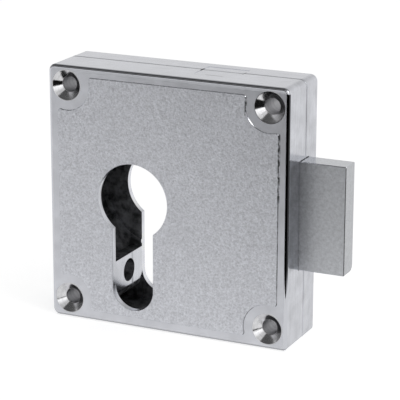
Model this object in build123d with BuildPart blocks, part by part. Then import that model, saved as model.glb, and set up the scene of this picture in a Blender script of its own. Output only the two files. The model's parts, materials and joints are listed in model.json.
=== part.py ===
from build123d import *
import os
from math import atan, cos, degrees, radians, sin, sqrt, tan

# Surface-mounted cabinet deadlock for a profile cylinder, in millimetres.
# The origin is where the cylinder's axis meets the mounting face.
# +X points out along the deadbolt, +Z is up and the front face looks along -Y.
# A height is a distance forward of the mounting face, so height h lies at y = -h.

# Opening for the profile cylinder, with play round a 17 x 10 x 33 mm cylinder
opening_radius = 8.65
stem_width = 10.2
opening_height = 34.3

# Case
backset = 37.5
left_reach = 20.9
case_height = 59.1
case_depth = 16.0
seam_height = 6.4
front_wall = 1.4
rear_wall = 1.4
side_wall = 1.6
corner_radius = 1.6
lower_bolt_side_corner_radius = 0.9
front_edge_radius = 0.75
rear_edge_radius = 0.4
seam_chamfer = 0.12
inner_corner_radius = 1.0

# Raised field on the front, which leaves a smooth border and a pad at each corner
field_raise = 0.2
field_inset = 2.25
field_pad_radius = 5.6
field_corner_radius = 0.8
field_draft = 35.0

# Corner screw holes, lined by flared tubular rivets that hold the two shells together
screw_inset = 4.55
screw_bore_radius = 1.8
countersink_radius = 3.45
countersink_angle = 90.0
rivet_wall = 0.5
rivet_rim = 0.1
rivet_recess = 0.1
rivet_tail_flare = 0.75
rivet_clearance = 0.03
post_radius = 4.0

# Land where the casting's gate was trimmed off the top, across the seam
gate_left = 12.7
gate_width = 10.0
gate_front_reach = 4.6
gate_rear_reach = 3.2
gate_depth = 0.08

# Boss for the cylinder's fixing screw, in two halves on the left of the stem
fixing_hole_radius = 2.7
fixing_hole_z = -19.0
fixing_head_radius = 5.0
boss_thickness = 3.0
boss_bottom_z = -25.0
boss_corner_radius = 2.4

# Deadbolt, which fills its window in the side of the case
bolt_projection = 10.7
bolt_height = 24.7
bolt_centre_z = -0.25
bolt_thickness = 5.2
bolt_rear_height = 4.4
bolt_chamfer = 0.15
bolt_lower_radius = 1.5
bolt_plate_thickness = 2.2
window_clearance = 0.15
window_corner_radius = 0.45

# Cylinder cam, which the lock is built round but does not include
cam_reach = 15.4
cam_tip_width = 4.8
cam_engagement = 1.3
cam_clearance = 0.6

# Bolt plate and its guides
plate_clearance = 0.55
plate_end_clearance = 0.7
plate_stop_clearance = 0.5
plate_corner_radius = 1.2
band_height = 6.2
lower_arm_height = 5.5
arm_corner_angle = 22.3
slot_end_wall = 1.3
slot_end_clearance = 0.1
upper_stud_x = 14.5
stud_radius = 1.5
stud_fit = 0.075
stud_head_radius = 2.7
stud_head_thickness = 0.9
stud_tail_radius = 1.2
stud_tail_head_radius = 2.1
stud_boss_radius = 3.5
slide_clearance = 0.2

# Rivets that join the bolt head to its plate
bolt_rivet_radius = 1.5
bolt_rivet_head_radius = 2.5
bolt_rivet_spacing = 14.0

# Catch spring, whose nose drops into a notch of the bolt plate at each end of the throw
catch_x = -2.0
catch_notch_depth = 1.5
catch_notch_width = 2.0
spring_thickness = 0.4
spring_width = 6.8
spring_rise = 2.6
nose_width = 2.8
nose_floor_gap = 0.2
nose_spread = 1.3
nose_tip_half_width = 0.3
nose_bend_radius = 0.25
spring_anchor_x = 21.5
spring_ledge_width = 8.0
spring_screw_radius = 1.25
spring_screw_cover = 1.9
spring_screw_head_radius = 2.1
spring_screw_head_height = 1.4
spring_screw_slot = 0.6

# Lifter lever, which the cam raises to lift the spring's nose out of the notch
lever_thickness = 1.6
lever_gap = 0.1
lever_pivot_x = -15.0
lever_pivot_z = 15.0
lever_hub_radius = 3.0
lever_lift_angle = 6.0
lever_arm_depth = 3.2
lever_pad_end_x = 7.2
lever_ramp_end_x = 10.5
lever_toe_end_x = 12.4
lever_tab_left = 1.0
lever_tab_width = 3.0
lever_tab_gap = 0.05
pivot_pin_radius = 1.45
pivot_fit = 0.05
pivot_head_radius = 2.4
pivot_head_thickness = 0.8
pivot_pin_seat = 4.0
pivot_boss_radius = 2.6
stop_peg_radius = 1.2
stop_peg_gap = 0.1

# Ribs inside the shells
rail_thickness = 1.2
rail_spacing = 17.0
rail_end_margin = 2.7
ring_rib_radius = 14.4
ring_rib_width = 0.8
ring_rib_height = 0.4

# Places that follow from the sizes above
case_width = backset + left_reach
case_centre_x = (backset - left_reach) / 2
front_shell_depth = case_depth - seam_height
inner_left_x = side_wall - left_reach
inner_right_x = backset - side_wall
stem_end_z = opening_radius - opening_height + stem_width / 2
screw_spacing_x = case_width - 2 * screw_inset
screw_spacing_z = case_height - 2 * screw_inset
fixing_hole_height = case_depth / 2
cam_room_radius = cam_reach + cam_clearance
boss_top_z = -sqrt(cam_room_radius**2 - (stem_width / 2) ** 2)

rivet_tube_radius = screw_bore_radius + rivet_wall
countersink_depth = (countersink_radius - screw_bore_radius) / tan(radians(countersink_angle / 2))
flare_radius = countersink_radius + rivet_rim
flare_depth = countersink_depth + rivet_wall / 2
tail_flare_radius = rivet_tube_radius + rivet_tail_flare
tail_flare_depth = rivet_tail_flare + rivet_wall

throw = bolt_projection
bolt_tip_x = backset + bolt_projection
bolt_inner_x = cam_room_radius + throw
bolt_front_height = bolt_rear_height + bolt_thickness
plate_front_height = bolt_rear_height + bolt_plate_thickness
plate_right_x = inner_right_x - plate_stop_clearance
plate_left_x = inner_left_x + plate_end_clearance + throw
band_bottom_z = cam_reach - cam_engagement
band_top_z = band_bottom_z + band_height
arm_top_z = -cam_room_radius * cos(radians(arm_corner_angle))
arm_bottom_z = arm_top_z - lower_arm_height
arm_left_x = cam_room_radius * sin(radians(arm_corner_angle)) + throw
slot_width = 2 * (stud_radius + stud_fit)
slot_length = throw + slot_width + 2 * slot_end_clearance
upper_slot_z = (band_bottom_z + band_top_z) / 2
lower_slot_z = (arm_bottom_z + arm_top_z) / 2
lower_stud_x = arm_left_x + slot_end_wall + slot_width / 2 + slot_end_clearance
cam_notch_width = cam_tip_width + 2 * (sqrt(cam_reach**2 - band_bottom_z**2) - throw / 2)
bolt_rivet_x = (bolt_inner_x + plate_right_x) / 2
studs = ((upper_stud_x, upper_slot_z), (lower_stud_x, lower_slot_z))
stud_boss_height = bolt_rear_height - slide_clearance
stud_head_height = plate_front_height + slide_clearance

spring_z = band_top_z + spring_rise
ledge_bottom_z = spring_z + spring_thickness
spring_screw_length = case_height / 2 - spring_screw_cover - ledge_bottom_z
spring_rear_height = bolt_rear_height - (nose_width - bolt_plate_thickness) / 2
spring_screw_height = plate_front_height + spring_screw_head_radius + slide_clearance
pivot_head_height = stud_head_height + slide_clearance
lever_rear_height = pivot_head_height + pivot_head_thickness + lever_gap
lever_front_height = lever_rear_height + lever_thickness
pivot_boss_height = lever_front_height + lever_gap
lever_toe_z = cam_reach + slide_clearance
lever_arm_top_z = lever_toe_z + lever_arm_depth
stop_peg_x = (lever_ramp_end_x + lever_toe_end_x) / 2


def facing(height, x=0.0, z=0.0):
    """The plane at a height forward of the mounting face; it looks out of the front."""
    return Plane(origin=(x, -height, z), x_dir=(1, 0, 0), z_dir=(0, -1, 0))


def from_left(x, height, z):
    """The plane square to X at a place, looking out of the left side."""
    return Plane(origin=(x, -height, z), x_dir=(0, 1, 0), z_dir=(-1, 0, 0))


def case_outline(height):
    """Outer outline of the case, tighter at the lower corner of the bolt's side than at the others."""
    with BuildSketch(facing(height, case_centre_x)) as outline:
        Rectangle(case_width, case_height)
        left_corners, right_corners = outline.vertices().group_by(Axis.X)
        fillet(left_corners + right_corners.sort_by(Axis.Y)[-1:], corner_radius)
        lower_bolt_side_corner = outline.vertices().group_by(Axis.Y)[0].sort_by(Axis.X)[-1]
        fillet(lower_bolt_side_corner, lower_bolt_side_corner_radius)
    return outline.sketch


def hollow_outline(height):
    """Outline of the room inside the side walls."""
    with BuildSketch(facing(height, case_centre_x)) as outline:
        RectangleRounded(case_width - 2 * side_wall, case_height - 2 * side_wall, inner_corner_radius)
    return outline.sketch


def opening_outline(height):
    """Keyhole outline of the profile cylinder's opening."""
    with BuildSketch(facing(height)) as outline:
        Circle(opening_radius)
        with Locations((0, stem_end_z / 2)):
            Rectangle(stem_width, -stem_end_z)
        with Locations((0, stem_end_z)):
            Circle(stem_width / 2)
    return outline.sketch


def post_outlines(height):
    """Round posts behind the four corner screws."""
    with BuildSketch(facing(height, case_centre_x)) as outline:
        with GridLocations(screw_spacing_x, screw_spacing_z, 2, 2):
            Circle(post_radius)
    return outline.sketch


def field_outline(height):
    """Raised field: a rectangle that gives way to a round pad at each corner."""
    with BuildSketch(facing(height, case_centre_x)) as outline:
        Rectangle(case_width - 2 * field_inset, case_height - 2 * field_inset)
        with GridLocations(screw_spacing_x, screw_spacing_z, 2, 2):
            Circle(field_pad_radius, mode=Mode.SUBTRACT)
        fillet(outline.vertices(), field_corner_radius)
    return outline.sketch


def boss_outline(height):
    """Section of the fixing-screw boss, rounded below on the side of the stem."""
    right = -stem_width / 2
    with BuildSketch(facing(height)) as outline:
        with Locations((right - boss_thickness / 2, (boss_top_z + boss_bottom_z) / 2)):
            Rectangle(boss_thickness, boss_top_z - boss_bottom_z)
        corner = outline.vertices().sort_by(Axis.X)[-2:].sort_by(Axis.Y)[0]
        fillet(corner, boss_corner_radius)
    return outline.sketch


def window_outline(x):
    """Section of the window that the deadbolt slides through."""
    with BuildSketch(from_left(x, bolt_rear_height + bolt_thickness / 2, bolt_centre_z)) as outline:
        RectangleRounded(
            bolt_thickness + 2 * window_clearance, bolt_height + 2 * window_clearance, window_corner_radius
        )
    return outline.sketch


def rail_outlines(height, left, right):
    """Two straight ribs that the bolt head slides between."""
    with BuildSketch(facing(height, (left + right) / 2, bolt_centre_z)) as outline:
        with GridLocations(0, rail_spacing, 1, 2):
            Rectangle(right - left, rail_thickness)
    return outline.sketch


def flare_angle(wide, narrow, depth):
    """Full angle of a cone that narrows between two radii over a depth."""
    return 2 * degrees(atan((wide - narrow) / depth))


def make_front_shell():
    """Front half of the zinc case: front wall, the deeper part of the sides, and its inner features."""
    inner_depth = front_shell_depth - front_wall
    inner_front = case_depth - front_wall
    rail_left = bolt_inner_x - throw + cam_clearance
    with BuildPart() as shell:
        extrude(case_outline(seam_height), amount=front_shell_depth)
        fillet(shell.faces().sort_by(Axis.Y)[0].edges(), front_edge_radius)
        chamfer(shell.faces().sort_by(Axis.Y)[-1].edges(), seam_chamfer)
        extrude(hollow_outline(seam_height), amount=inner_depth, mode=Mode.SUBTRACT)
        extrude(field_outline(case_depth), amount=field_raise, taper=field_draft)
        extrude(post_outlines(seam_height), amount=inner_depth)
        extrude(boss_outline(fixing_hole_height), amount=inner_front - fixing_hole_height)
        extrude(
            rail_outlines(bolt_front_height + slide_clearance, rail_left, inner_right_x - rail_end_margin),
            amount=inner_front - bolt_front_height - slide_clearance,
        )
        with BuildSketch(facing(pivot_boss_height, lever_pivot_x, lever_pivot_z)):
            Circle(pivot_boss_radius)
        extrude(amount=inner_front - pivot_boss_height)
        with BuildSketch(facing(lever_rear_height, stop_peg_x, lever_toe_z - stop_peg_gap - stop_peg_radius)):
            Circle(stop_peg_radius)
        extrude(amount=inner_front - lever_rear_height)
        ledge_height = case_height / 2 - side_wall / 2 - ledge_bottom_z
        with BuildSketch(facing(seam_height, spring_anchor_x, ledge_bottom_z + ledge_height / 2)):
            Rectangle(spring_ledge_width, ledge_height)
        extrude(amount=inner_front - seam_height)
        extrude(opening_outline(inner_front), amount=front_wall + field_raise, mode=Mode.SUBTRACT)
        extrude(window_outline(backset), amount=-side_wall, both=True, mode=Mode.SUBTRACT)
        with Locations(facing(case_depth, case_centre_x)):
            with GridLocations(screw_spacing_x, screw_spacing_z, 2, 2):
                CounterSinkHole(
                    rivet_tube_radius + rivet_clearance,
                    flare_radius + rivet_clearance,
                    counter_sink_angle=flare_angle(flare_radius, rivet_tube_radius, flare_depth),
                )
        with Locations(from_left(-left_reach, fixing_hole_height, fixing_hole_z)):
            CounterSinkHole(fixing_hole_radius, fixing_head_radius, depth=left_reach)
        with BuildSketch(facing(pivot_boss_height, lever_pivot_x, lever_pivot_z)):
            Circle(pivot_pin_radius + rivet_clearance)
        extrude(amount=pivot_pin_seat + rivet_clearance, mode=Mode.SUBTRACT)
        with BuildSketch(Plane.XY.offset(ledge_bottom_z)):
            with Locations((spring_anchor_x, -spring_screw_height)):
                Circle(spring_screw_radius + rivet_clearance)
        extrude(amount=spring_screw_length + rivet_clearance, mode=Mode.SUBTRACT)
        with BuildSketch(facing(seam_height, gate_left + gate_width / 2, case_height / 2)):
            Rectangle(gate_width, 2 * gate_depth)
        extrude(amount=gate_front_reach, mode=Mode.SUBTRACT)
    return shell.part


def make_rear_shell():
    """Rear half of the zinc case: the wall that lies on the door, with the bolt's guide bosses."""
    inner_depth = seam_height - rear_wall
    rail_left = bolt_inner_x - throw + cam_clearance
    with BuildPart() as shell:
        extrude(case_outline(0), amount=seam_height)
        fillet(shell.faces().sort_by(Axis.Y)[-1].edges(), rear_edge_radius)
        chamfer(shell.faces().sort_by(Axis.Y)[0].edges(), seam_chamfer)
        extrude(hollow_outline(rear_wall), amount=inner_depth, mode=Mode.SUBTRACT)
        extrude(post_outlines(rear_wall), amount=inner_depth)
        extrude(boss_outline(rear_wall), amount=fixing_hole_height - rear_wall)
        extrude(
            rail_outlines(rear_wall, rail_left, inner_right_x),
            amount=stud_boss_height - rear_wall,
        )
        with BuildSketch(facing(rear_wall)):
            with Locations(*studs):
                Circle(stud_boss_radius)
        extrude(amount=stud_boss_height - rear_wall)
        with BuildSketch(facing(rear_wall)):
            Circle(ring_rib_radius + ring_rib_width)
            Circle(ring_rib_radius, mode=Mode.SUBTRACT)
        extrude(amount=ring_rib_height)
        extrude(opening_outline(0), amount=rear_wall + ring_rib_height, mode=Mode.SUBTRACT)
        extrude(window_outline(backset), amount=-side_wall, both=True, mode=Mode.SUBTRACT)
        tail_cone = flare_angle(tail_flare_radius, rivet_tube_radius, tail_flare_depth)
        back = Plane(origin=(case_centre_x, 0, 0), x_dir=(1, 0, 0), z_dir=(0, 1, 0))
        with Locations(back):
            with GridLocations(screw_spacing_x, screw_spacing_z, 2, 2):
                CounterSinkHole(
                    rivet_tube_radius + rivet_clearance,
                    tail_flare_radius + rivet_clearance + rivet_recess,
                    counter_sink_angle=tail_cone,
                )
        for x, z in studs:
            with Locations(Plane(origin=(x, 0, z), x_dir=(1, 0, 0), z_dir=(0, 1, 0))):
                CounterSinkHole(
                    stud_tail_radius + rivet_clearance,
                    stud_tail_head_radius + rivet_clearance,
                )
        with Locations(from_left(-left_reach, fixing_hole_height, fixing_hole_z)):
            CounterSinkHole(fixing_hole_radius, fixing_head_radius, depth=left_reach)
        with BuildSketch(facing(seam_height, gate_left + gate_width / 2, case_height / 2)):
            Rectangle(gate_width, 2 * gate_depth)
        extrude(amount=-gate_rear_reach, mode=Mode.SUBTRACT)
    return shell.part


def make_corner_rivet(x, z):
    """Tubular steel rivet, flared at the front as a countersink and clinched at the back."""
    axis = Axis((x, 0, z), (0, 1, 0))
    bore = screw_bore_radius
    tail_bore = bore + rivet_tail_flare
    with BuildPart() as rivet:
        with BuildSketch(Plane(origin=(x, 0, z), x_dir=(1, 0, 0), z_dir=(0, 0, 1))):
            with BuildLine():
                Polyline(
                    (countersink_radius, -case_depth),
                    (flare_radius, -case_depth),
                    (rivet_tube_radius, flare_depth - case_depth),
                    (rivet_tube_radius, -rivet_recess - tail_flare_depth),
                    (tail_flare_radius, -rivet_recess),
                    (tail_bore, -rivet_recess),
                    (bore, -rivet_recess - rivet_tail_flare),
                    (bore, countersink_depth - case_depth),
                    close=True,
                )
            make_face()
        revolve(axis=axis)
    return rivet.part


def make_deadbolt_head():
    """Steel bolt block, rounded along its lower rear edge and rebated behind for its plate."""
    middle_x = (bolt_inner_x + bolt_tip_x) / 2
    with BuildPart() as head:
        with BuildSketch(facing(bolt_rear_height, middle_x, bolt_centre_z)):
            Rectangle(bolt_tip_x - bolt_inner_x, bolt_height)
        extrude(amount=bolt_thickness)
        fillet(head.edges().filter_by(Axis.X).group_by(Axis.Z)[0].sort_by(Axis.Y)[-1], bolt_lower_radius)
        tip_edges = head.faces().sort_by(Axis.X)[-1].edges()
        top_edges = head.edges().filter_by(Axis.X).group_by(Axis.Z)[-1]
        lower_front_edge = head.edges().filter_by(Axis.X).group_by(Axis.Z)[0].sort_by(Axis.Y)[:1]
        chamfer(tip_edges + top_edges + lower_front_edge, bolt_chamfer)
        rebate_right = plate_right_x + rivet_clearance
        with BuildSketch(facing(bolt_rear_height, (bolt_inner_x + rebate_right) / 2, bolt_centre_z)):
            Rectangle(rebate_right - bolt_inner_x, bolt_height)
        extrude(amount=bolt_plate_thickness, mode=Mode.SUBTRACT)
        for z in (-bolt_rivet_spacing / 2, bolt_rivet_spacing / 2):
            with Locations(facing(bolt_front_height, bolt_rivet_x, bolt_centre_z + z)):
                CounterSinkHole(bolt_rivet_radius + rivet_clearance, bolt_rivet_head_radius + rivet_clearance)
    return head.part


def make_bolt_plate():
    """Steel plate behind the bolt head: a neck, an upper band for the cam and a lower guide arm.

    It is cut clear of the path of the four posts, which it passes as it slides.
    """
    neck_width = plate_right_x - bolt_inner_x
    with BuildPart() as plate:
        with BuildSketch(facing(bolt_rear_height)) as outline:
            with Locations((plate_right_x, (band_top_z + arm_bottom_z) / 2)):
                Rectangle(neck_width, band_top_z - arm_bottom_z, align=(Align.MAX, Align.CENTER))
            with Locations((plate_right_x, band_bottom_z)):
                Rectangle(plate_right_x - plate_left_x, band_height, align=(Align.MAX, Align.MIN))
            with Locations((plate_right_x, arm_bottom_z)):
                Rectangle(plate_right_x - arm_left_x, lower_arm_height, align=(Align.MAX, Align.MIN))
            fillet(outline.vertices(), plate_corner_radius)
            with Locations((case_centre_x + throw / 2, 0)):
                with GridLocations(screw_spacing_x, screw_spacing_z, 2, 2):
                    SlotCenterToCenter(throw, 2 * (post_radius + plate_clearance), mode=Mode.SUBTRACT)
            for stud_x, stud_z in studs:
                slot_left = stud_x - slot_width / 2 - slot_end_clearance
                with Locations((slot_left + slot_length / 2, stud_z)):
                    SlotOverall(slot_length, slot_width, mode=Mode.SUBTRACT)
            with Locations((throw / 2, band_bottom_z)):
                Rectangle(cam_notch_width, 2 * (cam_engagement + cam_clearance), mode=Mode.SUBTRACT)
            with Locations((catch_x, band_top_z), (catch_x + throw, band_top_z)):
                Rectangle(catch_notch_width, 2 * catch_notch_depth, mode=Mode.SUBTRACT)
        extrude(amount=bolt_plate_thickness)
        for z in (-bolt_rivet_spacing / 2, bolt_rivet_spacing / 2):
            rear = Plane(
                origin=(bolt_rivet_x, -bolt_rear_height, bolt_centre_z + z), x_dir=(1, 0, 0), z_dir=(0, 1, 0)
            )
            with Locations(rear):
                CounterSinkHole(bolt_rivet_radius + rivet_clearance, bolt_rivet_head_radius + rivet_clearance)
    return plate.part


def make_bolt_rivets():
    """Two rivets, flush at both ends, that hold the bolt head to its plate."""
    cone = bolt_rivet_head_radius - bolt_rivet_radius
    with BuildPart() as rivets:
        for offset in (-bolt_rivet_spacing / 2, bolt_rivet_spacing / 2):
            z = bolt_centre_z + offset
            with BuildSketch(Plane(origin=(bolt_rivet_x, 0, z), x_dir=(1, 0, 0), z_dir=(0, 0, 1))):
                with BuildLine():
                    Polyline(
                        (0, -bolt_front_height),
                        (bolt_rivet_head_radius, -bolt_front_height),
                        (bolt_rivet_radius, cone - bolt_front_height),
                        (bolt_rivet_radius, -bolt_rear_height - cone),
                        (bolt_rivet_head_radius, -bolt_rear_height),
                        (0, -bolt_rear_height),
                        close=True,
                    )
                make_face()
            revolve(axis=Axis((bolt_rivet_x, 0, z), (0, 1, 0)))
    return rivets.part


def make_guide_stud(x, z):
    """Shouldered stud, riveted through the rear wall, that the bolt plate's slot runs on."""
    tail_cone = stud_tail_head_radius - stud_tail_radius
    with BuildPart() as stud:
        with BuildSketch(Plane(origin=(x, 0, z), x_dir=(1, 0, 0), z_dir=(0, 0, 1))):
            with BuildLine():
                Polyline(
                    (0, 0),
                    (stud_tail_head_radius, 0),
                    (stud_tail_radius, -tail_cone),
                    (stud_tail_radius, -stud_boss_height),
                    (stud_radius, -stud_boss_height),
                    (stud_radius, -stud_head_height),
                    (stud_head_radius, -stud_head_height),
                    (stud_head_radius, -stud_head_height - stud_head_thickness),
                    (0, -stud_head_height - stud_head_thickness),
                    close=True,
                )
            make_face()
        revolve(axis=Axis((x, 0, z), (0, 1, 0)))
    return stud.part


def make_catch_spring():
    """Flat spring over the bolt plate, with a folded nose at its free end."""
    middle_z = spring_z + spring_thickness / 2
    nose_floor = band_top_z - catch_notch_depth + nose_floor_gap + spring_thickness / 2
    strip_left = catch_x + nose_spread + 2 * nose_bend_radius + spring_thickness
    strip_right = spring_anchor_x + spring_ledge_width / 2
    with BuildPart() as spring:
        with BuildSketch(facing(spring_rear_height, (strip_left + strip_right) / 2, middle_z)):
            Rectangle(strip_right - strip_left, spring_thickness)
        extrude(amount=spring_width)
        with BuildSketch(facing(spring_rear_height)):
            with BuildLine():
                FilletPolyline(
                    (strip_left + spring_thickness, middle_z),
                    (catch_x + nose_spread, middle_z),
                    (catch_x + nose_tip_half_width, nose_floor),
                    (catch_x - nose_tip_half_width, nose_floor),
                    (catch_x - nose_spread, middle_z),
                    radius=nose_bend_radius,
                )
            trace(line_width=spring_thickness)
        extrude(amount=nose_width)
        with BuildSketch(Plane.XY.offset(spring_z)):
            with Locations((spring_anchor_x, -spring_screw_height)):
                Circle(spring_screw_radius + rivet_clearance)
        extrude(amount=spring_thickness, mode=Mode.SUBTRACT)
    return spring.part


def make_catch_spring_screw():
    """Slotted pan-head screw that holds the catch spring under its ledge."""
    place = (spring_anchor_x, -spring_screw_height)
    with BuildPart() as screw:
        with BuildSketch(Plane.XY.offset(spring_z)):
            with Locations(place):
                Circle(spring_screw_head_radius)
        extrude(amount=-spring_screw_head_height)
        with BuildSketch(Plane.XY.offset(spring_z)):
            with Locations(place):
                Circle(spring_screw_radius)
        extrude(amount=spring_thickness + spring_screw_length)
        with BuildSketch(Plane.XY.offset(spring_z - spring_screw_head_height)):
            with Locations(place):
                Rectangle(2 * spring_screw_head_radius, spring_screw_slot)
        extrude(amount=spring_screw_slot, mode=Mode.SUBTRACT)
    return screw.part


def make_lifter_lever():
    """Steel lever over the cam's circle; its underside is that circle, swung down by the lift angle."""
    swing = radians(lever_lift_angle)
    arc_x = lever_pivot_x - lever_pivot_x * cos(swing) - lever_pivot_z * sin(swing)
    arc_z = lever_pivot_z + lever_pivot_x * sin(swing) - lever_pivot_z * cos(swing)
    arc_radius = cam_reach + slide_clearance
    hub_bottom = lever_pivot_z - lever_hub_radius
    pad_bottom = arc_z + sqrt(arc_radius**2 - (lever_pad_end_x - arc_x) ** 2)
    tab_top = spring_z - lever_tab_gap
    with BuildPart() as lever:
        with BuildSketch(facing(lever_rear_height)):
            with BuildLine():
                Polyline(
                    (lever_pivot_x, lever_pivot_z + lever_hub_radius),
                    (lever_tab_left, lever_arm_top_z),
                    (lever_tab_left, tab_top),
                    (lever_tab_left + lever_tab_width, tab_top),
                    (lever_tab_left + lever_tab_width, lever_arm_top_z),
                    (lever_toe_end_x, lever_arm_top_z),
                    (lever_toe_end_x, lever_toe_z),
                    (lever_ramp_end_x, lever_toe_z),
                    (lever_pad_end_x, pad_bottom),
                    (lever_pad_end_x, hub_bottom - lever_hub_radius),
                    (lever_pivot_x, hub_bottom),
                    close=True,
                )
            make_face()
            with Locations((lever_pivot_x, lever_pivot_z)):
                Circle(lever_hub_radius)
            with Locations((arc_x, arc_z)):
                Circle(arc_radius, mode=Mode.SUBTRACT)
            with Locations((lever_pivot_x, lever_pivot_z)):
                Circle(pivot_pin_radius + pivot_fit, mode=Mode.SUBTRACT)
        extrude(amount=lever_thickness)
    return lever.part


def make_lever_pivot_pin():
    """Headed pin, pressed into the front shell's boss, that the lifter lever turns on."""
    with BuildPart() as pin:
        with BuildSketch(facing(pivot_head_height, lever_pivot_x, lever_pivot_z)):
            Circle(pivot_head_radius)
        extrude(amount=pivot_head_thickness)
        with BuildSketch(facing(pivot_head_height, lever_pivot_x, lever_pivot_z)):
            Circle(pivot_pin_radius)
        extrude(amount=pivot_boss_height + pivot_pin_seat - pivot_head_height)
    return pin.part


def save(piece, name):
    """Writes one labelled piece."""
    piece.label = name
    export_step(piece, f"parts/{name}.step")


os.makedirs("parts", exist_ok=True)

save(make_front_shell(), "front_shell")
save(make_rear_shell(), "rear_shell")

sides = (("left", -1), ("right", 1))
levels = (("top", 1), ("bottom", -1))
for level_name, level in levels:
    for side_name, side in sides:
        rivet_x = case_centre_x + side * screw_spacing_x / 2
        rivet_z = level * screw_spacing_z / 2
        save(make_corner_rivet(rivet_x, rivet_z), f"{level_name}_{side_name}_tubular_rivet")

save(make_deadbolt_head(), "deadbolt_head")
save(make_bolt_plate(), "bolt_plate")
save(make_bolt_rivets(), "bolt_rivets")
for stud_name, (stud_x, stud_z) in zip(("upper", "lower"), studs):
    save(make_guide_stud(stud_x, stud_z), f"{stud_name}_guide_stud")

save(make_catch_spring(), "catch_spring")
save(make_catch_spring_screw(), "catch_spring_screw")
save(make_lifter_lever(), "lifter_lever")
save(make_lever_pivot_pin(), "lever_pivot_pin")
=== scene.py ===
import json
import math
from types import SimpleNamespace

import bpy
from mathutils import Matrix, Vector


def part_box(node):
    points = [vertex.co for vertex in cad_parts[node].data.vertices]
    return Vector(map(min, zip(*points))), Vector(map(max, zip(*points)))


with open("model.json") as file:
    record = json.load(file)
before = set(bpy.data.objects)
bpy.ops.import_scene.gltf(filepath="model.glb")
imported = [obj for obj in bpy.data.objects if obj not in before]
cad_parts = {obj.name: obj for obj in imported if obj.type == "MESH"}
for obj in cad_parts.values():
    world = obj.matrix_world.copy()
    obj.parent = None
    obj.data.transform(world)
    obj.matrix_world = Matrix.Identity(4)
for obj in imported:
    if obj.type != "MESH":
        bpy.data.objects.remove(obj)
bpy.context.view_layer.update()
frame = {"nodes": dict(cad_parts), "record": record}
nodes = frame["nodes"]
case_low, case_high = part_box("front_shell")
rivet_low, rivet_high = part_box("top_right_tubular_rivet")
bolt_low, bolt_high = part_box("deadbolt_head")
floor_z = case_low.z

MM = 0.001


def mm(*lengths):
    """Lengths in millimetres, as metres."""
    return tuple(length * MM for length in lengths)


# Camera, fitted to the photograph's edges; its target lies on the plane of the mounting face
CAMERA_AZIMUTH = 25.145
CAMERA_ELEVATION = 16.280
CAMERA_ROLL = 0.138
CAMERA_DISTANCE = 444.84 * MM
CAMERA_TARGET = Vector(mm(9.119, 0.0, -2.620))
FOCAL_PIXELS = 1946.2
IMAGE_PIXELS = 400.0
SENSOR_WIDTH = 36.0
CLIP_START = 10 * MM

# Sizes of the pieces that their finish follows
EDGE_RADIUS = 0.75 * MM
CORNER_RADIUS = 1.6 * MM
FIELD_RAISE = 0.2 * MM
SIDE_WALL = 1.6 * MM
FACE_WALL = 1.4 * MM
STEM_LEFT = -5.1 * MM
RIVET_BORE = 1.8 * MM
border_front = -case_low.y - FIELD_RAISE

# Marks in the finishes. A line's widths are its core and its fade, each to one side of its middle.
# A stretch has four limits: it grows from the first to the second and fades from the third to the fourth.
# A ramp's shifts are the distances from an edge of a piece at which it starts and is full.
WALL_SOFTENING = 0.08 * MM
STEM_TOLERANCE = 0.06 * MM
OPENING_WIDTHS = mm(9.0, 9.4)
OPENING_DEPTHS = mm(3.0, 3.4)
STEP_SHIFTS = (0.01 * FIELD_RAISE, 0.06 * FIELD_RAISE)
FIELD_SHIFTS = (0.8 * FIELD_RAISE, 0.95 * FIELD_RAISE)
FRONT_SHIFTS = (-0.2 * EDGE_RADIUS, 0.0)
# Where painted shade darkens the front rounding near the bottom
PAINTED_UNDERSIDE_SHADE_SHIFTS = (EDGE_RADIUS, 0.2 * EDGE_RADIUS)
# Where painted dark reflection darkens the front rounding on the bolt side
PAINTED_DARK_SIDE_SHIFTS = mm(13.0, 19.0)
SEAM_HEIGHT = 6.4 * MM
SEAM_WIDTHS = mm(0.15, 0.6)
GATE_MIDDLE = 17.7 * MM
GATE_WIDTH = 10 * MM
GATE_END_WIDTHS = mm(0.1, 0.3)
GATE_END_REACH = mm(0.8, 1.4)
GATE_FRONT_HEIGHT = SEAM_HEIGHT + 4.6 * MM
GATE_FRONT_WIDTHS = mm(0.15, 0.4)
GATE_FRONT_REACH = mm(1.6, 2.4)
GATE_SHIFTS = mm(-0.3, -0.2)
FIELD_RIGHT = 35.25 * MM
FIELD_STRETCH = mm(3.0, 6.0, 19.2, 19.6)
PAD_LEFT = 27.4 * MM
PAD_STRETCH = mm(22.6, 23.0, 26.6, 27.0)
DASH_WIDTHS = mm(0.16, 0.32)
DASH_SHIFTS = mm(-0.2, -0.1)
# The patch beside the bolt, burnished and painted darker as the bolt's reflection
PATCH_BOTTOM_SHIFTS = mm(0.4, 1.8)
PATCH_TOP_SHIFTS = mm(0.6, -0.6)
PATCH_BACK_SHIFTS = mm(-0.4, 0.0)
PATCH_FRONT_SHIFTS = mm(-0.3, -1.6)
BOLT_PAINTED_LIGHT_SHIFTS = mm(4.5, 0.5)
BORE_SHIFTS = mm(0.12, 0.02)

# Relief of the finishes
SAND_RELIEF = 0.17 * MM
TURNED_RELIEF = 0.02 * MM
BOLT_RELIEF = 0.03 * MM
SHEET_RELIEF = 0.02 * MM
LATHE_RELIEF = 0.015 * MM
SPRING_RELIEF = 0.01 * MM

# Tints of the metals, as red, green and blue shares of one lightness
CASTING_TINT = (0.985, 1.0, 1.06)
NICKEL_TINT = (1.0, 1.0, 1.02)
BOLT_TINT = (0.98, 1.0, 1.04)
SPRING_TINT = (0.85, 0.95, 1.2)

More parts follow.
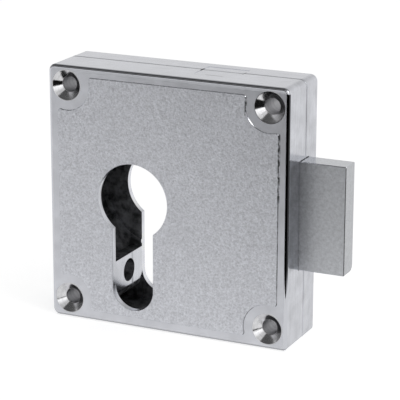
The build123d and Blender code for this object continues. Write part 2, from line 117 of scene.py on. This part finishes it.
# World: the room that the metal reflects, the light on the floor, and the picture's background
SHADE_LIGHT = 0.496
BACK_LIGHT = 0.672
HORIZON_LIGHT = 0.76
HORIZON_ELEVATIONS = (22.0, 8.0)
CEILING_LIGHT = 0.08
BACK_CEILING_LIGHT = 0.36
CEILING_ELEVATIONS = (20.0, 40.0)
FAR_TABLE_LIGHT = 0.592
NIGHT_LIGHT = 0.0064
NIGHT_ELEVATIONS = (0.5, 0.0)
NIGHT_AZIMUTH = 20.0
NIGHT_HALF_WIDTH = 54.0
NIGHT_SOFTENING = 8.0
DIFFUSE_LIGHT = 0.48
BACKGROUND_LIGHT = 1.0

# Floor, and the table that only reflections see
FLOOR_COLOUR = 0.86
FLOOR_GLOW = 0.56
FLOOR_REACH = 3.0
TABLE_LIGHT = 0.74
TABLE_DROP = 1 * MM
TABLE_EDGE_AZIMUTH = 50.0
TABLE_EDGE_DISTANCE = 38 * MM
TABLE_REACH = 9.0

# Lamps: azimuth and elevation in degrees, distance and size in metres, and radiance
SOFTBOX = (52.0, 31.0, 0.62, 0.58, 0.5)
GLINT = (78.0, 42.0, 0.6, 0.28, 1.5)


def add(tree, kind, inputs=None, **settings):
    """A new node with its settings, and with its inputs linked or set."""
    made = tree.nodes.new(kind)
    for name, value in settings.items():
        setattr(made, name, value)
    for name, value in (inputs or {}).items():
        if isinstance(value, bpy.types.NodeSocket):
            tree.links.new(value, made.inputs[name])
        else:
            made.inputs[name].default_value = value
    return made


def calc(tree, operation, first, second=0.0, third=0.0):
    """A number worked out from one, two or three others."""
    return add(tree, "ShaderNodeMath", {0: first, 1: second, 2: third}, operation=operation).outputs[0]


def smaller(tree, first, second):
    """The smaller of two numbers."""
    return calc(tree, "MINIMUM", first, second)


def larger(tree, first, second):
    """The larger of two numbers."""
    return calc(tree, "MAXIMUM", first, second)


def times(tree, *factors):
    """The product of several numbers."""
    product = factors[0]
    for factor in factors[1:]:
        product = calc(tree, "MULTIPLY", product, factor)
    return product


def opposite(tree, mask):
    """A mask turned round: 1 where it was 0."""
    return calc(tree, "SUBTRACT", 1.0, mask)


def apart(tree, value, place):
    """How far a number lies from a place."""
    return calc(tree, "ABSOLUTE", calc(tree, "SUBTRACT", value, place))


def hypotenuse(tree, first, second):
    """Length of a step whose two parts are at right angles."""
    squares = calc(tree, "MULTIPLY_ADD", first, first, calc(tree, "MULTIPLY", second, second))
    return calc(tree, "SQRT", squares)


def remap(tree, value, low, high, new_low=0.0, new_high=1.0):
    """A number that rises smoothly from one value to another between two limits."""
    inputs = {"Value": value, "From Min": low, "From Max": high, "To Min": new_low, "To Max": new_high}
    return add(tree, "ShaderNodeMapRange", inputs, interpolation_type="SMOOTHSTEP").outputs[0]


def ramp(tree, value, base, shifts):
    """0 at the first shift from a base and 1 at the second."""
    start, full = shifts
    return remap(tree, value, base + start, base + full)


def line(tree, value, middle, widths):
    """1 in the core of a line and 0 beyond its fade."""
    core, fade = widths
    return remap(tree, apart(tree, value, middle), fade, core)


def stretch(tree, value, limits):
    """1 between the two inner limits and 0 beyond the two outer ones."""
    start, grown, fading, end = limits
    return times(tree, remap(tree, value, start, grown), remap(tree, value, end, fading))


def blend(tree, share, first, second):
    """A mix of two numbers."""
    return add(tree, "ShaderNodeMix", {0: share, 2: first, 3: second}, data_type="FLOAT").outputs[0]


def shade(tree, value, mask, factor):
    """A value multiplied by a factor where the mask is 1."""
    return times(tree, value, blend(tree, mask, 1.0, factor))


def swing(tree, value, pattern, amount):
    """A value moved up and down by a pattern that lies round a half."""
    return calc(tree, "MULTIPLY_ADD", calc(tree, "SUBTRACT", pattern, 0.5), amount, value)


def noise(tree, where, scale, detail=2.0, roughness=0.5, scales=None):
    """Fractal noise from 0 to 1 over a place in metres, with its grains stretched along an axis."""
    if scales:
        where = add(tree, "ShaderNodeMapping", {"Vector": where, "Scale": scales}).outputs[0]
    inputs = {"Vector": where, "Scale": scale, "Detail": detail, "Roughness": roughness}
    return add(tree, "ShaderNodeTexNoise", inputs).outputs[0]


def split(tree, vector):
    """The three parts of a vector."""
    return add(tree, "ShaderNodeSeparateXYZ", {0: vector}).outputs


def look_direction(tree):
    """Which way the surface looks, in the lock's own directions."""
    return split(tree, add(tree, "ShaderNodeTexCoord").outputs["Normal"])


def bump(tree, height, distance, strength=1.0):
    """Surface relief of a height from 0 to 1 over a real distance."""
    inputs = {"Height": height, "Distance": distance, "Strength": strength}
    return add(tree, "ShaderNodeBump", inputs).outputs[0]


def grey(tree, value, tint=(1.0, 1.0, 1.0)):
    """A colour of one lightness with a slight tint."""
    scaled = [calc(tree, "MULTIPLY", value, share) for share in tint]
    return add(tree, "ShaderNodeCombineColor", dict(enumerate(scaled))).outputs[0]


def empty_tree(owner):
    """The cleared node tree of a material or a world."""
    owner.use_nodes = True
    owner.node_tree.nodes.clear()
    return owner.node_tree


def nodes_of(slot):
    """The nodes that have one of the record's material slots."""
    return [part["node"] for part in frame["record"]["subparts"] if part["material_slot"] == slot]


def metal(name, slot, build):
    """A metal made by its own function, given to every node that has the slot."""
    material = bpy.data.materials.new(name)
    tree = empty_tree(material)
    shader = add(tree, "ShaderNodeBsdfPrincipled", {"Metallic": 1.0})
    place = add(tree, "ShaderNodeTexCoord").outputs["Object"]
    for socket, value in build(tree, place).items():
        tree.links.new(value, shader.inputs[socket])
    add(tree, "ShaderNodeOutputMaterial", {"Surface": shader.outputs[0]})
    for node in nodes_of(slot):
        nodes[node].material_slots[0].material = material


def outline_depth(tree, x, z):
    """How far a point lies inside the case's rounded outline, seen from the front."""
    half_width = (case_high.x - case_low.x) / 2
    half_height = (case_high.z - case_low.z) / 2
    across = apart(tree, x, (case_high.x + case_low.x) / 2)
    up = calc(tree, "ABSOLUTE", z)
    out_x = calc(tree, "SUBTRACT", across, half_width - CORNER_RADIUS)
    out_z = calc(tree, "SUBTRACT", up, half_height - CORNER_RADIUS)
    corner = hypotenuse(tree, larger(tree, out_x, 0.0), larger(tree, out_z, 0.0))
    flat = smaller(tree, larger(tree, out_x, out_z), 0.0)
    return calc(tree, "SUBTRACT", CORNER_RADIUS, calc(tree, "ADD", corner, flat))


def casting_point(tree, place):
    """Where a point of the casting lies, and which way its surface looks."""
    x, y, z = split(tree, place)
    depth = outline_depth(tree, x, z)
    round_opening = times(tree, line(tree, x, 0.0, OPENING_WIDTHS), remap(tree, depth, *OPENING_DEPTHS))
    facing_x, facing_y, facing_z = look_direction(tree)
    return SimpleNamespace(
        x=x,
        z=z,
        forward=calc(tree, "MULTIPLY", y, -1.0),
        depth=depth,
        round_opening=round_opening,
        facing_x=facing_x,
        facing_y=facing_y,
        facing_z=facing_z,
        to_bolt_side=remap(tree, facing_x, 0.3, 0.6),
    )


def front_masks(tree, at):
    """The raised textured field, the sloped step round it, and the whole front."""
    field = ramp(tree, at.forward, border_front, FIELD_SHIFTS)
    slope = calc(tree, "SUBTRACT", ramp(tree, at.forward, border_front, STEP_SHIFTS), field)
    step = times(tree, slope, opposite(tree, at.round_opening))
    front = ramp(tree, at.forward, border_front, FRONT_SHIFTS)
    return field, step, front


def edge_masks(tree, at):
    """Polished rounding of the front, with painted shade low down and painted dark reflection by the bolt
    and on top.
    """
    from_side = calc(tree, "SUBTRACT", EDGE_RADIUS, at.depth)
    from_front = calc(tree, "SUBTRACT", at.forward, border_front - EDGE_RADIUS)
    rounding = smaller(tree, from_side, from_front)
    polish = remap(tree, rounding, 0.03 * EDGE_RADIUS, 0.22 * EDGE_RADIUS)
    # Painted shade: the rounding is painted darker near the bottom, where shade falls below the case.
    painted_underside_shade = times(tree, polish, ramp(tree, at.z, case_low.z, PAINTED_UNDERSIDE_SHADE_SHIFTS))
    # Painted reflection: the rounding on the bolt side is painted dark, as the dark that it mirrors.
    side = times(
        tree,
        polish,
        stretch(tree, at.facing_x, (0.1, 0.18, 0.975, 0.995)),
        ramp(tree, at.z, case_low.z, PAINTED_DARK_SIDE_SHIFTS),
        remap(tree, at.facing_z, 0.25, 0.1),
    )
    # Painted reflection: the rounding along the top is painted darker, as the dark ceiling that it mirrors.
    top = times(
        tree,
        polish,
        stretch(tree, at.facing_z, (0.2, 0.3, 0.85, 0.93)),
        remap(tree, at.facing_x, 0.25, 0.1),
    )
    return polish, painted_underside_shade, side, top


def casting_marks(tree, at):
    """The seam between the shells, and the marks that the gate of the mould left on top."""
    seam = line(tree, at.forward, SEAM_HEIGHT, SEAM_WIDTHS)
    from_gate = apart(tree, at.x, GATE_MIDDLE)
    ends = line(tree, from_gate, GATE_WIDTH / 2, GATE_END_WIDTHS)
    ends = times(tree, ends, line(tree, at.forward, SEAM_HEIGHT, GATE_END_REACH))
    front = line(tree, at.forward, GATE_FRONT_HEIGHT, GATE_FRONT_WIDTHS)
    front = times(tree, front, line(tree, at.x, GATE_MIDDLE, GATE_FRONT_REACH))
    on_top = ramp(tree, at.z, case_high.z, GATE_SHIFTS)
    return seam, times(tree, on_top, larger(tree, ends, front))


def painted_dash_mask(tree, at):
    """Painted dark reflection, broken, along the field's right edge and the upper right pad's left edge."""
    side = times(tree, line(tree, at.x, FIELD_RIGHT, DASH_WIDTHS), stretch(tree, at.z, FIELD_STRETCH))
    pad = times(tree, line(tree, at.x, PAD_LEFT, DASH_WIDTHS), stretch(tree, at.z, PAD_STRETCH))
    on_front = ramp(tree, at.forward, border_front, DASH_SHIFTS)
    return times(tree, larger(tree, side, pad), on_front)


def burnished_and_painted_reflection_mask(tree, at):
    """Patch of the case beside the bolt's front: rubbed smooth, and painted darker as the bolt's
    reflection.
    """
    return times(
        tree,
        remap(tree, at.facing_x, 0.9, 0.97),
        ramp(tree, at.z, bolt_low.z, PATCH_BOTTOM_SHIFTS),
        ramp(tree, at.z, bolt_high.z, PATCH_TOP_SHIFTS),
        ramp(tree, at.forward, -bolt_low.y, PATCH_BACK_SHIFTS),
        ramp(tree, at.forward, border_front, PATCH_FRONT_SHIFTS),
    )


def inside_masks(tree, at):
    """Painted shade on the shells' matt inside, not the stem's left wall; painted highlight on the rear
    shell's rim.
    """
    room = smaller(
        tree,
        calc(tree, "SUBTRACT", at.depth, SIDE_WALL),
        calc(tree, "SUBTRACT", at.forward, FACE_WALL),
    )
    room = smaller(tree, room, calc(tree, "SUBTRACT", border_front - FACE_WALL, at.forward))
    stem_side = calc(tree, "COMPARE", at.x, STEM_LEFT, STEM_TOLERANCE)
    # Painted shade: the inside of the shells is painted dark where it lies in their shade.
    inside = times(tree, remap(tree, room, -WALL_SOFTENING, 0.0), opposite(tree, stem_side))
    # Painted highlight: the rear shell's rim in the opening is painted lighter.
    rim = times(
        tree,
        at.round_opening,
        remap(tree, calc(tree, "ABSOLUTE", at.facing_y), 0.5, 0.3),
        remap(tree, at.forward, 1.2 * FACE_WALL, FACE_WALL),
    )
    return inside, rim


def step_painted_light(tree, at, dashes):
    """Painted light on the step: dashed, dark toward the bolt side and bright where it also looks up."""
    upwards = remap(tree, at.facing_z, 0.3, 0.5)
    lit = times(tree, at.to_bolt_side, upwards)
    shaded = times(tree, at.to_bolt_side, opposite(tree, upwards))
    low = blend(tree, lit, blend(tree, shaded, 0.75, 0.05), 1.35)
    high = blend(tree, lit, blend(tree, shaded, 1.3, 0.5), 1.35)
    return blend(tree, dashes, low, high)


def build_cast_zinc(tree, place):
    """Satin nickel-plated casting: textured field, smooth border and sides, polished edges, matt inside,
    painted light.
    """
    at = casting_point(tree, place)
    field, step, front = front_masks(tree, at)
    polish, painted_underside_shade, painted_dark_side_reflection, painted_dark_top_reflection = edge_masks(tree, at)
    seam, gate = casting_marks(tree, at)
    inside, rim = inside_masks(tree, at)
    burnished_and_painted_reflection = burnished_and_painted_reflection_mask(tree, at)
    smooth_edge = opposite(tree, polish)

    sand = blend(tree, 0.5, noise(tree, place, 3300, 2.0, 0.6), noise(tree, place, 1950, 2.0, 0.55))
    cloud = noise(tree, place, 70, 3.0, 0.5)
    drift = noise(tree, place, 260, 3.0, 0.55)
    streak = noise(tree, place, 1500, 3.0, 0.6, scales=(0.07, 1.0, 0.07))
    streaks = blend(tree, blend(tree, at.to_bolt_side, 0.5, 0.65), streak, drift)
    dashes = remap(tree, noise(tree, place, 1150, 1.0, 0.5), 0.4, 0.6)
    # Breakup of the painted shade inside.
    inside_shade_breakup = remap(tree, noise(tree, place, 330, 4.0, 0.65), 0.3, 0.7)

    value = calc(tree, "MULTIPLY_ADD", cloud, 0.06, 0.735)
    value = swing(tree, value, sand, times(tree, field, 0.95))
    bare = times(tree, opposite(tree, field), smooth_edge)
    value = swing(tree, value, streaks, times(tree, bare, blend(tree, at.to_bolt_side, 0.45, 0.6)))
    # Painted light here: shade low on the edge and inside, dark reflections, the step's light, the rim's
    # highlight.
    for mask, factor in (
        (step, step_painted_light(tree, at, dashes)),
        (painted_underside_shade, 0.45),
        (rim, 1.2),
        (seam, blend(tree, drift, 0.76, 1.04)),
        (gate, 0.3),
        (painted_dark_side_reflection, 0.12),
        (painted_dark_top_reflection, 0.45),
        (painted_dash_mask(tree, at), blend(tree, dashes, 0.2, 1.0)),
        (burnished_and_painted_reflection, blend(tree, drift, 0.55, 0.8)),
        (inside, blend(tree, inside_shade_breakup, 0.08, 0.6)),
    ):
        value = shade(tree, value, mask, factor)

    rough = calc(tree, "MULTIPLY_ADD", drift, 0.1, 0.13)
    for mask, level in (
        (front, 0.4),
        (field, 0.47),
        (step, 0.2),
        (burnished_and_painted_reflection, 0.07),
        (polish, 0.065),
        (seam, 0.45),
        (inside, 0.6),
    ):
        rough = blend(tree, mask, rough, level)

    relief = times(tree, sand, blend(tree, field, times(tree, front, 0.12), 1.0), smooth_edge)
    from_end = calc(tree, "SUBTRACT", case_high.z, calc(tree, "ABSOLUTE", at.z))
    near_end = remap(tree, from_end, 1.7 * EDGE_RADIUS, 0.9 * EDGE_RADIUS)
    relief = calc(tree, "MULTIPLY_ADD", times(tree, front, near_end), -0.5, relief)
    return {
        "Base Color": grey(tree, value, CASTING_TINT),
        "Roughness": rough,
        "Normal": bump(tree, relief, SAND_RELIEF),
    }


def build_nickel(tree, place):
    """Bright nickel, ringed by turning on the flare, rough down the bore and painted darker there as shade.
    """
    x, y, z = split(tree, place)
    axis = (rivet_low + rivet_high) / 2
    middle = (case_low.x + case_high.x) / 2
    across = calc(tree, "SUBTRACT", apart(tree, x, middle), axis.x - middle)
    up = calc(tree, "SUBTRACT", calc(tree, "ABSOLUTE", z), axis.z)
    radius = hypotenuse(tree, across, up)
    # The bore is rougher, and painted darker as shade down the hole.
    bore = ramp(tree, radius, RIVET_BORE, BORE_SHIFTS)
    turned = add(tree, "ShaderNodeCombineXYZ", {0: radius, 1: times(tree, y, 0.6)}).outputs[0]
    rings = noise(tree, turned, 2600, 3.0, 0.6)
    smudge = noise(tree, place, 480, 3.0, 0.6)
    value = swing(tree, swing(tree, 0.84, smudge, 0.5), rings, 0.5)
    rough = calc(tree, "MULTIPLY_ADD", smudge, 0.1, 0.08)
    return {
        "Base Color": grey(tree, shade(tree, value, bore, 0.78), NICKEL_TINT),
        "Roughness": blend(tree, bore, rough, 0.34),
        "Normal": bump(tree, rings, TURNED_RELIEF, 0.6),
    }


def build_bolt_steel(tree, place):
    """Matt plated steel: mottled broad faces, brighter narrow ones, an end painted darker as shade, edges
    worn smooth.
    """
    facing_x, facing_y = look_direction(tree)[:2]
    toward_front = calc(tree, "ABSOLUTE", facing_y)
    broad = remap(tree, toward_front, 0.8, 0.95)
    narrow = remap(tree, toward_front, 0.5, 0.2)
    end = remap(tree, facing_x, 0.8, 0.95)
    fine = noise(tree, place, 2400, 3.0, 0.65)
    mottle = noise(tree, place, 1150, 4.0, 0.7)
    along = split(tree, place)[0]
    near_case = ramp(tree, along, case_high.x, BOLT_PAINTED_LIGHT_SHIFTS)
    value = swing(tree, 0.73, mottle, blend(tree, broad, 0.3, 0.6))
    value = swing(tree, value, fine, 0.15)
    # Painted light: the broad faces are painted a little lighter near the case.
    value = shade(tree, value, times(tree, broad, near_case), 1.05)
    # Painted shade: the end face is painted darker.
    value = shade(tree, value, end, 0.87)
    rough = calc(tree, "MULTIPLY_ADD", mottle, 0.12, blend(tree, narrow, 0.42, 0.16))
    worn = opposite(tree, larger(tree, broad, narrow))
    return {
        "Base Color": grey(tree, value, BOLT_TINT),
        "Roughness": blend(tree, worn, rough, 0.26),
        "Normal": bump(tree, fine, BOLT_RELIEF, 0.5),
    }


def build_stamped_steel(tree, place):
    """Sheet steel with the faint grain of rolling along X."""
    grain = noise(tree, place, 300, 3.0, 0.6, scales=(1.0, 9.0, 9.0))
    return {
        "Base Color": grey(tree, calc(tree, "MULTIPLY_ADD", grain, 0.14, 0.5)),
        "Roughness": calc(tree, "MULTIPLY_ADD", grain, 0.2, 0.3),
        "Normal": bump(tree, grain, SHEET_RELIEF, 0.4),
    }


def build_turned_steel(tree, place):
    """Bright turned steel."""
    fine = noise(tree, place, 1500, 2.0, 0.5)
    return {
        "Base Color": grey(tree, calc(tree, "MULTIPLY_ADD", fine, 0.08, 0.6)),
        "Roughness": calc(tree, "MULTIPLY_ADD", fine, 0.12, 0.22),
        "Normal": bump(tree, fine, LATHE_RELIEF, 0.4),
    }


def build_spring_steel(tree, place):
    """Blued spring strip."""
    grain = noise(tree, place, 260, 3.0, 0.6, scales=(1.0, 6.0, 6.0))
    return {
        "Base Color": grey(tree, calc(tree, "MULTIPLY_ADD", grain, 0.1, 0.2), SPRING_TINT),
        "Roughness": calc(tree, "MULTIPLY_ADD", grain, 0.18, 0.25),
        "Normal": bump(tree, grain, SPRING_RELIEF, 0.4),
    }


def toward(azimuth, elevation=0.0):
    """Unit direction from the lock; azimuth 0 is straight out of its front and 90 is along its bolt."""
    turn, rise = math.radians(azimuth), math.radians(elevation)
    return Vector((math.sin(turn) * math.cos(rise), -math.cos(turn) * math.cos(rise), math.sin(rise)))


def heights_at(elevations):
    """Heights of unit directions at given elevations."""
    return [math.sin(math.radians(elevation)) for elevation in elevations]


def make_sheet(name, corners, material):
    """A flat stage surface."""
    mesh = bpy.data.meshes.new(name)
    mesh.from_pydata([tuple(corner) for corner in corners], [], [tuple(range(len(corners)))])
    mesh.materials.append(material)
    sheet = bpy.data.objects.new(name, mesh)
    bpy.context.scene.collection.objects.link(sheet)
    return sheet


def make_floor():
    """Pale floor that the lock stands on; it keeps the shadow and is white where it is fully lit."""
    material = bpy.data.materials.new("floor")
    tree = empty_tree(material)
    seen = add(tree, "ShaderNodeLightPath").outputs["Is Camera Ray"]
    colour = (FLOOR_COLOUR, FLOOR_COLOUR, FLOOR_COLOUR, 1.0)
    lit = add(tree, "ShaderNodeBsdfDiffuse", {"Color": colour})
    glow = add(tree, "ShaderNodeEmission", {"Strength": times(tree, seen, FLOOR_GLOW)})
    both = add(tree, "ShaderNodeAddShader", {0: lit.outputs[0], 1: glow.outputs[0]})
    add(tree, "ShaderNodeOutputMaterial", {"Surface": both.outputs[0]})
    signs = ((-1, -1), (1, -1), (1, 1), (-1, 1))
    corners = [(x * FLOOR_REACH, y * FLOOR_REACH, floor_z) for x, y in signs]
    make_sheet("floor", corners, material).visible_glossy = False


def make_table():
    """Light table that only reflections see: it ends in a straight edge in front of the bolt side."""
    material = bpy.data.materials.new("table")
    tree = empty_tree(material)
    glow = add(tree, "ShaderNodeEmission", {"Strength": TABLE_LIGHT})
    add(tree, "ShaderNodeOutputMaterial", {"Surface": glow.outputs[0]})
    out = toward(TABLE_EDGE_AZIMUTH)
    side = Vector((-out.y, out.x, 0.0)) * TABLE_REACH
    near = Vector((case_high.x, case_low.y, floor_z - TABLE_DROP)) + out * TABLE_EDGE_DISTANCE
    far = near - out * TABLE_REACH
    table = make_sheet("table", [near + side, near - side, far - side, far + side], material)
    table.visible_camera = False
    table.visible_diffuse = False
    table.visible_transmission = False
    table.visible_shadow = False


def make_lamp(name, azimuth, elevation, distance, size, radiance):
    """A square soft lamp of a given radiance, aimed at the case."""
    light = bpy.data.lights.new(name, "AREA")
    light.shape = "SQUARE"
    light.size = size
    light.energy = radiance * math.pi * size * size
    lamp = bpy.data.objects.new(name, light)
    bpy.context.scene.collection.objects.link(lamp)
    lamp.visible_camera = False
    out = toward(azimuth, elevation)
    lamp.location = (case_low + case_high) / 2 + out * distance
    lamp.rotation_euler = out.to_track_quat("Z", "Y").to_euler()


def night_mask(tree, direction):
    """The stretch of azimuths where reflections see the dark beyond the table."""
    level = add(tree, "ShaderNodeVectorMath", {0: direction, 1: (1.0, 1.0, 0.0)}, operation="MULTIPLY")
    level = add(tree, "ShaderNodeVectorMath", {0: level.outputs[0]}, operation="NORMALIZE")
    middle = {0: level.outputs[0], 1: toward(NIGHT_AZIMUTH)}
    turned = add(tree, "ShaderNodeVectorMath", middle, operation="DOT_PRODUCT").outputs["Value"]
    half_widths = (NIGHT_HALF_WIDTH + NIGHT_SOFTENING, NIGHT_HALF_WIDTH)
    return remap(tree, turned, *(math.cos(math.radians(half)) for half in half_widths))


def make_world():
    """White for the camera; metal reflects a pale room, its darker ceiling and the dark past the table."""
    world = bpy.data.worlds.new("studio")
    bpy.context.scene.world = world
    tree = empty_tree(world)
    direction = add(tree, "ShaderNodeTexCoord").outputs["Generated"]
    height = split(tree, direction)[2]
    backward = {0: direction, 1: toward(180.0)}
    back = add(tree, "ShaderNodeVectorMath", backward, operation="DOT_PRODUCT").outputs["Value"]
    horizon = remap(tree, height, *heights_at(HORIZON_ELEVATIONS))
    ceiling = remap(tree, height, *heights_at(CEILING_ELEVATIONS))
    below = remap(tree, height, *heights_at(NIGHT_ELEVATIONS))
    light = remap(tree, back, -0.5, 0.5, SHADE_LIGHT, BACK_LIGHT)
    light = blend(tree, horizon, light, HORIZON_LIGHT)
    light = blend(tree, ceiling, light, remap(tree, back, -0.4, 0.6, CEILING_LIGHT, BACK_CEILING_LIGHT))
    night = blend(tree, night_mask(tree, direction), FAR_TABLE_LIGHT, NIGHT_LIGHT)
    light = blend(tree, below, light, night)
    path = add(tree, "ShaderNodeLightPath")
    light = blend(tree, path.outputs["Is Diffuse Ray"], light, DIFFUSE_LIGHT)
    light = blend(tree, path.outputs["Is Camera Ray"], light, BACKGROUND_LIGHT)
    white = (1.0, 1.0, 1.0, 1.0)
    background = add(tree, "ShaderNodeBackground", {"Color": white, "Strength": light})
    add(tree, "ShaderNodeOutputWorld", {"Surface": background.outputs[0]})


def make_camera():
    """Camera at the photograph's viewing angle."""
    data = bpy.data.cameras.new("camera")
    data.sensor_width = SENSOR_WIDTH
    data.lens = FOCAL_PIXELS / IMAGE_PIXELS * SENSOR_WIDTH
    data.clip_start = CLIP_START
    camera = bpy.data.objects.new("camera", data)
    bpy.context.scene.collection.objects.link(camera)
    back = toward(CAMERA_AZIMUTH, CAMERA_ELEVATION)
    right = Vector((0, 0, 1)).cross(back).normalized()
    up = back.cross(right)
    roll = math.radians(CAMERA_ROLL)
    turned_right = right * math.cos(roll) + up * math.sin(roll)
    turned_up = up * math.cos(roll) - right * math.sin(roll)
    turn = Matrix((turned_right, turned_up, back)).transposed().to_4x4()
    camera.matrix_world = Matrix.Translation(CAMERA_TARGET + back * CAMERA_DISTANCE) @ turn
    bpy.context.scene.camera = camera


metal("zinc_casting", "cast_zinc", build_cast_zinc)
metal("bright_nickel", "nickel_rivet", build_nickel)
metal("matt_steel", "bolt_steel", build_bolt_steel)
metal("sheet_steel", "stamped_steel", build_stamped_steel)
metal("lathe_steel", "turned_steel", build_turned_steel)
metal("blued_steel", "spring_steel", build_spring_steel)
make_floor()
make_table()
make_world()
make_lamp("softbox", *SOFTBOX)
make_lamp("glint", *GLINT)
make_camera()
bpy.context.scene.view_settings.view_transform = "Standard"
